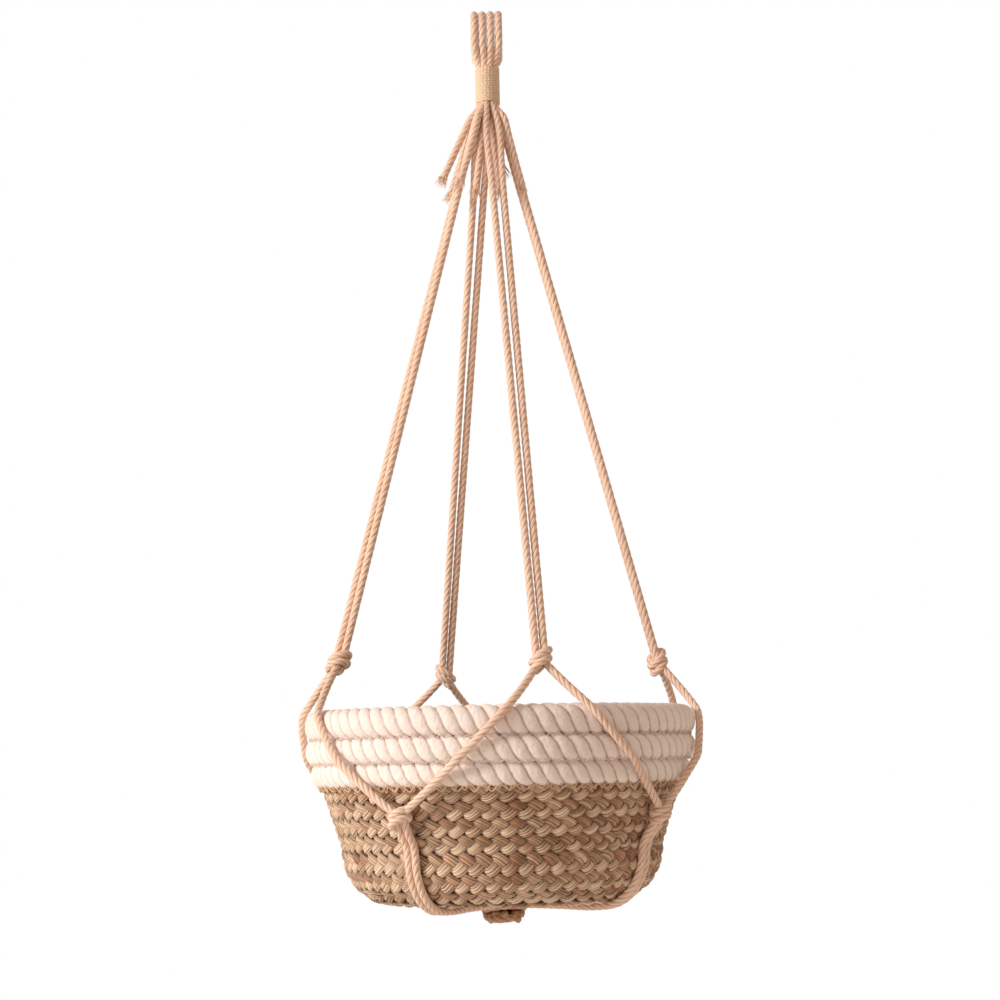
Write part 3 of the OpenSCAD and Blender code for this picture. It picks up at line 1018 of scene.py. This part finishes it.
plait = {
    "pitch": 0.0120,  # from one turn to the next where it has the widths below
    "repeat": 0.0385,  # length in which a strand weaves once across and back
    "swing": 0.0046,  # how far a strand moves to each side
    "lift": 0.0021,  # how far it rises and dips at the crossings
    "width": 0.0076,
    "thick": 0.0046,
    "samples": 24,  # points along one repeat
    "ridges": 0.30,  # how deep the grooves between a strand's blades are
    "fuller": 0.0010,  # how far the corner's turns are pushed out
    "lastFuller": 0.0018,  # the same for the turn that the base starts on
}


def weavePlait(pile, middleLine, acrossLine, outLine, x, repeats, seed, loop, pitch):
    # three strands with their phases a third of a repeat apart: sideways as the sine of the phase,
    # outwards as minus the sine of twice the phase, so that each goes over one and under the next;
    # the plait is drawn wider where its turns are further apart, so that they still meet
    spread = pitch / plait["pitch"]
    rng = np.random.default_rng(seed)
    for strand in range(3):
        phase = tau * (repeats * x + strand / 3)
        slow = ripple(x * repeats * 2.1, 0, seed * 7 + strand)
        sway = plait["swing"] * spread * (1 + 0.06 * slow)
        path = (
            middleLine
            + (sway * np.sin(phase))[:, None] * acrossLine
            - (plait["lift"] * np.sin(2 * phase))[:, None] * outLine
        )
        across = unit(np.cross(outLine, heading(path, loop)))
        lobes = rng.uniform(0.34, 0.70, int(repeats * 2) + 4)
        lobe = (phase / math.pi + 0.5) % (2 * repeats)
        # each lobe has its own random tone; minus the sine of the phase is painted light and shade, darker
        # on lobes swung to the across side and lighter on those swung back
        tone = lobes[np.floor(lobe).astype(int)] - 0.16 * np.sin(phase)
        fat = 1 + 0.12 * ripple(x * repeats * 9, 0, seed * 5 + strand)
        width = plait["width"] * spread * fat * (1 - 0.14 * np.sin(phase) ** 2)
        sectionTube(pile, path, across, width, plait["thick"], tone[:, None],
                    ridges=plait["ridges"], loop=loop)


def plaitEdge(n):
    # outer edge between turns: straight down the side, then round the corner
    if n <= 4:
        z = borderZ + (cornerZ - borderZ) * n / 4
        return np.array([sideDistance(z), z])
    a = math.radians(90 * (n - 4) / 4)
    return np.array([baseR + (footR - baseR) * math.cos(a), cornerZ - (cornerZ - baseZ) * math.sin(a)])


def buildPlaitTurn(n):
    upper, lower = plaitEdge(n - 1), plaitEdge(n)
    up = unit(upper - lower)
    out = np.array([up[1], -up[0]])
    mid = (upper + lower) / 2 - out * (wallT / 2)
    if n > 4:
        mid = mid + out * plait["lastFuller" if n == 8 else "fuller"]
    # turns near each other have the same number of repeats, so that their strands' bends nest
    repeats = round(tau * (borderR if n < 7 else mid[0]) / plait["repeat"])
    x = np.arange(repeats * plait["samples"]) / (repeats * plait["samples"])
    angle = 360 * x
    line = polar(mid[0], angle, mid[1])
    across = polar(up[0], angle, up[1])
    outward = polar(out[0], angle, out[1])
    pile = Pile()
    weavePlait(pile, line, across, outward, x, repeats, 400 + n, True, np.linalg.norm(upper - lower))
    pile.piece("plait_turn_%d_woven" % n, plaitedGrass, ["plait_turn_%d" % n])


backing = {"behind": 0.0044, "thick": 0.0012, "holeR": 0.0002, "samples": 180}


def buildBacking():
    # a thin layer behind the strands, where the real plait's own turns close the gaps, painted dark as
    # shade
    edge = np.array([plaitEdge(n) for n in np.linspace(0, 8, 33)])
    slope = unit(np.gradient(edge, axis=0))
    inward = np.stack([slope[:, 1], -slope[:, 0]], -1)
    outer = edge + inward * backing["behind"]
    inner = outer + inward * backing["thick"]
    floorZ = outer[-1, 1]
    floor = np.array([[0.03, floorZ], [backing["holeR"], floorZ]])
    outline = np.concatenate([outer, floor, floor[::-1] + [0, backing["thick"]], inner[::-1]])[::-1]
    n = backing["samples"]
    az = 360 * np.arange(n) / n
    s = lengthAlong(outline)
    along = np.append(s, s[-1] + np.linalg.norm(outline[-1] - outline[0]))
    around = np.arange(n + 1) * tau * borderR / n
    pile = Pile()
    # crown 0.25 gives it the grass finish's painted shade colour, and tone 0 its brown
    pile.add(polar(outline[:, :1], az[None], outline[:, 1:]), along, around, 0.25, 0.0, loop=True)
    pile.piece("plait_backing", plaitedGrass)


basePlait = {
    "pitch": 0.0132,
    "over": 0.55,  # share of the pitch by which the first turn starts outside the base
    "raised": 0.0030,  # how much higher it starts
    "stop": 0.994,  # share of the whole length at which the spiral ends, near the middle
    "samples": 18,  # points along one repeat
}


def buildBase():
    # the base is the same plait wound in a flat spiral, each turn one plait width further in; its
    # first turn starts on top of the corner's last turn and comes down beside it
    pitch = basePlait["pitch"]
    outer = baseR + pitch * basePlait["over"]
    total = math.pi * outer**2 / pitch
    repeats = round(total / plait["repeat"])
    x = np.linspace(0, basePlait["stop"], repeats * basePlait["samples"])
    r = np.sqrt(total * (1 - x) * pitch / math.pi)
    turned = (outer - r) / pitch
    angle = np.degrees(tau * turned)
    z = baseZ + wallT / 2 - 0.0008 + basePlait["raised"] * np.clip(1 - turned, 0, 1)
    down = np.array([[0.0, 0.0, -1.0]])
    pile = Pile()
    weavePlait(pile, polar(r, angle, z), polar(1.0, angle, 0.0), down, x, repeats, 420, False, pitch)
    pile.piece("base_plait_spiral", plaitedGrass, ["base_plait"])


buildRim()
for n in range(1, 9):
    buildPlaitTurn(n)
buildBacking()
buildBase()
print("planter: basket woven")


linerCup = {
    "wall": 0.0016,
    "lipOut": 0.002,
    "corner": 0.008,
    "inFromBase": 0.006,  # the foot's radius is this much less than the base's
    "rib": 0.0007,
    "samples": 220,
}


def buildLiner():
    # a cup turned about the axis: its outline runs out along the floor, up the wall with a few shallow
    # ribs, over the rolled lip and back down inside
    low, high = lowHigh("liner")
    topR = high[0] - linerCup["lipOut"]
    c = linerCup["corner"]
    t = linerCup["wall"]
    floorR = baseR - linerCup["inFromBase"] - c
    bend = np.radians(np.linspace(-90, -10, 9))
    outerBend = np.stack([floorR + c * np.cos(bend), low[2] + c * (1 + np.sin(bend))], -1)
    rise = np.linspace(0.06, 0.9, 40)
    wallLow = outerBend[-1]
    wallTop = np.array([topR, high[2] - 0.003])
    ribs = linerCup["rib"] * np.maximum(0, np.sin(rise * tau * 4)) ** 6
    wall = wallLow + (wallTop - wallLow) * rise[:, None] - np.stack([ribs, ribs * 0], -1)
    roll = np.radians(np.linspace(-90, 90, 9))
    lipX = topR + linerCup["lipOut"] * 0.35 + 0.0013 * np.cos(roll)
    lip = np.stack([lipX, high[2] - 0.0015 + 0.0015 * np.sin(roll)], -1)
    lipEnd = [[topR - t, high[2] - 0.0006]]
    innerWall = wall[::-1] - np.array([t, 0])
    innerBend = np.stack([floorR + (c - t) * np.cos(bend), low[2] + c + (c - t) * np.sin(bend)], -1)[::-1]
    spokes = floorR * np.linspace(0, 1, 6)[1:]
    outerFloor = np.stack([spokes, np.full(5, low[2])], -1)[:-1]
    innerFloor = np.stack([spokes[::-1], np.full(5, low[2] + t)], -1)[1:]
    outline = np.concatenate([
        outerFloor, outerBend, wall, [wallTop], lip, lipEnd, innerWall, innerBend, innerFloor,
    ])
    n = linerCup["samples"]
    az = 360 * np.arange(n) / n
    s = lengthAlong(outline)
    grid = polar(outline[:, :1], az[None], outline[:, 1:])
    pile = Pile()
    pile.add(grid, np.append(s, s[-1]), np.arange(n + 1) * tau * topR / n, 1.0, 0.5)
    pile.piece("liner_cup", linerPlastic, ["liner", "liner_base"], body="liner")


buildLiner()
print("planter: liner turned")


# each lamp: its place from the middle of the rim, its width, its power and its colour
studio = {
    "floorBelow": 0.45,
    "floorR": 1.35,
    "floorLight": (243, 241, 238),
    "floorDark": (238, 236, 233),
    "world": 0.54,
    "worldColour": (1.0, 0.775, 0.63, 1),
    "key": ((-1.9, -0.9, 0.7), 0.8, 42, (1.0, 0.95, 0.90)),
    "fill": ((1.7, -0.8, 0.1), 1.2, 0.4, (1.0, 0.72, 0.50)),
    "back": ((0.4, 1.6, 0.9), 0.8, 4, (1.0, 0.9, 0.8)),
}


def makeFloor():
    # a plain disc below the planter
    n = 96
    ring = polar(studio["floorR"], 360 * np.arange(n) / n, cadBox[0][2] - studio["floorBelow"])
    mesh = bpy.data.meshes.new("floor")
    mesh.from_pydata(ring.tolist(), [], [tuple(range(n))])
    f = Finish("floor_paint", Roughness=0.8)
    f.colour(f.mix(f.speckle(3.0), linear(*studio["floorDark"]), linear(*studio["floorLight"])))
    mesh.materials.append(f.material)
    obj = bpy.data.objects.new("floor", mesh)
    bpy.context.scene.collection.objects.link(obj)


def makeLamp(name):
    # a square lamp that faces the middle of the rim
    (x, y, z), size, power, colour = studio[name]
    lamp = bpy.data.objects.new(name, bpy.data.lights.new(name, "AREA"))
    bpy.context.scene.collection.objects.link(lamp)
    lamp.data.size = size
    lamp.data.energy = power
    lamp.data.color = colour
    aim = Vector((-x, -y, -z)).to_track_quat("-Z", "Y")
    lamp.matrix_world = Matrix.Translation((x, y, rimZ + z)) @ aim.to_matrix().to_4x4()


def makeWorld():
    # warm light from all round, and plain white where the camera looks past the planter
    world = bpy.data.worlds.new("studio")
    bpy.context.scene.world = world
    world.use_nodes = True
    nodes, links = world.node_tree.nodes, world.node_tree.links
    nodes.clear()
    rays = nodes.new("ShaderNodeLightPath")
    seen = nodes.new("ShaderNodeBackground")
    seen.inputs[0].default_value = (1, 1, 1, 1)
    seen.inputs[1].default_value = 1.0
    felt = nodes.new("ShaderNodeBackground")
    felt.inputs[0].default_value = studio["worldColour"]
    felt.inputs[1].default_value = studio["world"]
    pick = nodes.new("ShaderNodeMixShader")
    end = nodes.new("ShaderNodeOutputWorld")
    links.new(rays.outputs["Is Camera Ray"], pick.inputs[0])
    links.new(felt.outputs[0], pick.inputs[1])
    links.new(seen.outputs[0], pick.inputs[2])
    links.new(pick.outputs[0], end.inputs["Surface"])


makeFloor()
makeLamp("key")
makeLamp("fill")
makeLamp("back")
makeWorld()
bpy.context.scene.view_settings.view_transform = "Standard"
print("planter: studio lit")
